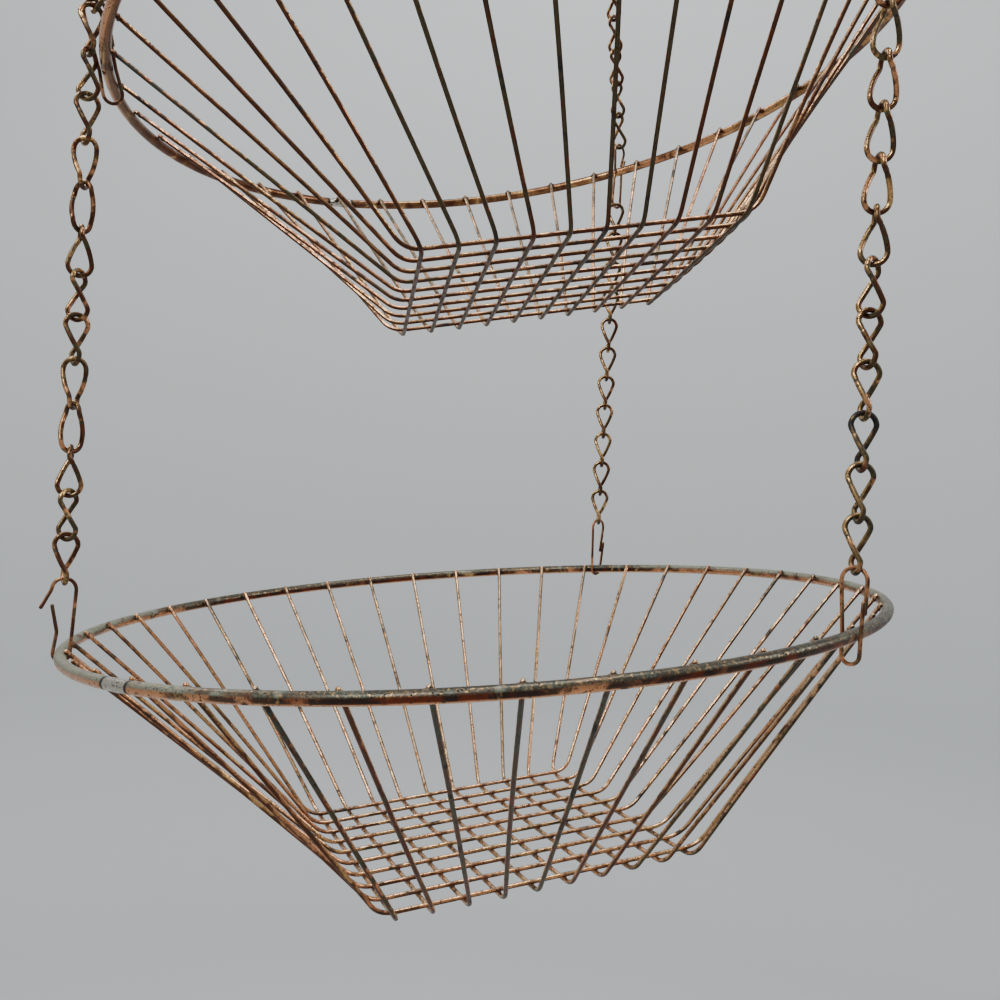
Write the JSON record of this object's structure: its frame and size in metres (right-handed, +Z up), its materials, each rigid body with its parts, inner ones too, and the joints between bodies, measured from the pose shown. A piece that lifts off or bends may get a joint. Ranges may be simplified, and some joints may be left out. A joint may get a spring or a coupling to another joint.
{
  "type": "hanging fruit basket",
  "caption": "Tiered hanging basket for fruit: round bowls of bent, copper-plated wire hung one below the other on twist-link chains from a ring.",
  "frame": {"origin": "inside top of the hanging ring, where a ceiling hook carries it", "axes": "+Z up along the line of gravity, +X along the floor's long wires towards the lower rim's raised side, +Y to the back chain's side"},
  "size_m": [0.3096, 0.3048, 0.7599],
  "materials": {
    "lower_rim": "aged copper plate with a grey-green bloom on top and a redder underside",
    "upper_rim": "aged copper plate, brassy where it is rubbed",
    "lower_basket_wire": "rose copper plate with pits and dark tarnish",
    "upper_basket_wire": "rose copper plate with pits and dark tarnish",
    "chain_wire": "dark bronze with rubbed golden edges",
    "hook_wire": "dark brown tarnished copper",
    "ring_wire": "dark bronze"
  },
  "bodies": {
    "top_ring": {"top_ring": "ring_wire"},
    "gather_link": {"gather_link": "ring_wire"},
    "upper_basket": {"upper_rim": "upper_rim", "upper_long_wires": "upper_basket_wire", "upper_cross_wires": "upper_basket_wire", "upper_hook_left": "hook_wire", "upper_hook_right": "hook_wire", "upper_hook_back": "hook_wire", "upper_chain_left": "chain_wire", "upper_chain_right": "chain_wire", "upper_chain_back": "chain_wire", "middle_chain_left": "chain_wire", "middle_chain_right": "chain_wire", "middle_chain_back": "chain_wire"},
    "pivot_left": {"pivot_link_left": "chain_wire"},
    "run_left": {"lower_chain_left": "chain_wire"},
    "last_left": {"last_link_left": "chain_wire"},
    "pivot_right": {"pivot_link_right": "chain_wire"},
    "run_right": {"lower_chain_right": "chain_wire"},
    "last_right": {"last_link_right": "chain_wire"},
    "pivot_back": {"pivot_link_back": "chain_wire"},
    "run_back": {"lower_chain_back": "chain_wire"},
    "last_back": {"last_link_back": "chain_wire"},
    "lower_basket": {"lower_rim": "lower_rim", "lower_long_wires": "lower_basket_wire", "lower_cross_wires": "lower_basket_wire", "lower_hook_left": "hook_wire", "lower_hook_right": "hook_wire", "lower_hook_back": "hook_wire"}
  },
  "joints": [
    {"name": "ring_swing", "type": "hinge", "parent": "top_ring", "child": "gather_link", "pos_m": [0, 0, -0.0325], "axis": [1, 0, 0], "range_deg": [-20, 20]},
    {"name": "bar_swing", "type": "hinge", "parent": "gather_link", "child": "upper_basket", "pos_m": [0, 0, -0.0475], "axis": [0, 1, 0], "range_deg": [-20, 20]},
    {"name": "left_sway_front", "type": "hinge", "parent": "upper_basket", "child": "pivot_left", "pos_m": [-0.15462, 0.0123, -0.50242], "axis": [1, 0, 0], "range_deg": [-10, 10]},
    {"name": "left_sway_side", "type": "hinge", "parent": "pivot_left", "child": "run_left", "pos_m": [-0.15462, 0.0123, -0.51742], "axis": [0, 1, 0], "range_deg": [-10, 10]},
    {"name": "left_level_side", "type": "hinge", "parent": "run_left", "child": "last_left", "pos_m": [-0.15462, 0.0123, -0.63742], "axis": [0, 1, 0], "range_deg": [-10, 10]},
    {"name": "left_level_front", "type": "hinge", "parent": "last_left", "child": "lower_basket", "pos_m": [-0.15462, 0.0123, -0.65242], "axis": [1, 0, 0], "range_deg": [-10, 10]},
    {"name": "right_sway_front", "type": "hinge", "parent": "upper_basket", "child": "pivot_right", "pos_m": [0.05929, -0.13032, -0.48102], "axis": [1, 0, 0], "range_deg": [-10, 10]},
    {"name": "right_sway_side", "type": "hinge", "parent": "pivot_right", "child": "run_right", "pos_m": [0.05929, -0.13032, -0.49602], "axis": [0, 1, 0], "range_deg": [-10, 10]},
    {"name": "right_level_side", "type": "hinge", "parent": "run_right", "child": "last_right", "pos_m": [0.05929, -0.13032, -0.61602], "axis": [0, 1, 0], "range_deg": [-10, 10]},
    {"name": "back_sway_front", "type": "hinge", "parent": "upper_basket", "child": "pivot_back", "pos_m": [0.10099, 0.10955, -0.47782], "axis": [1, 0, 0], "range_deg": [-10, 10]},
    {"name": "back_sway_side", "type": "hinge", "parent": "pivot_back", "child": "run_back", "pos_m": [0.10099, 0.10955, -0.49282], "axis": [0, 1, 0], "range_deg": [-10, 10]},
    {"name": "back_level_side", "type": "hinge", "parent": "run_back", "child": "last_back", "pos_m": [0.10099, 0.10955, -0.61282], "axis": [0, 1, 0], "range_deg": [-10, 10]}
  ],
  "couplings": [
    {"joint": "left_level_side", "follows": "left_sway_side", "ratio": -1},
    {"joint": "left_level_front", "follows": "left_sway_front", "ratio": -1},
    {"joint": "right_sway_front", "follows": "left_sway_front", "ratio": 1},
    {"joint": "right_sway_side", "follows": "left_sway_side", "ratio": 1},
    {"joint": "right_level_side", "follows": "left_sway_side", "ratio": -1},
    {"joint": "back_sway_front", "follows": "left_sway_front", "ratio": 1},
    {"joint": "back_sway_side", "follows": "left_sway_side", "ratio": 1},
    {"joint": "back_level_side", "follows": "left_sway_side", "ratio": -1}
  ]
}
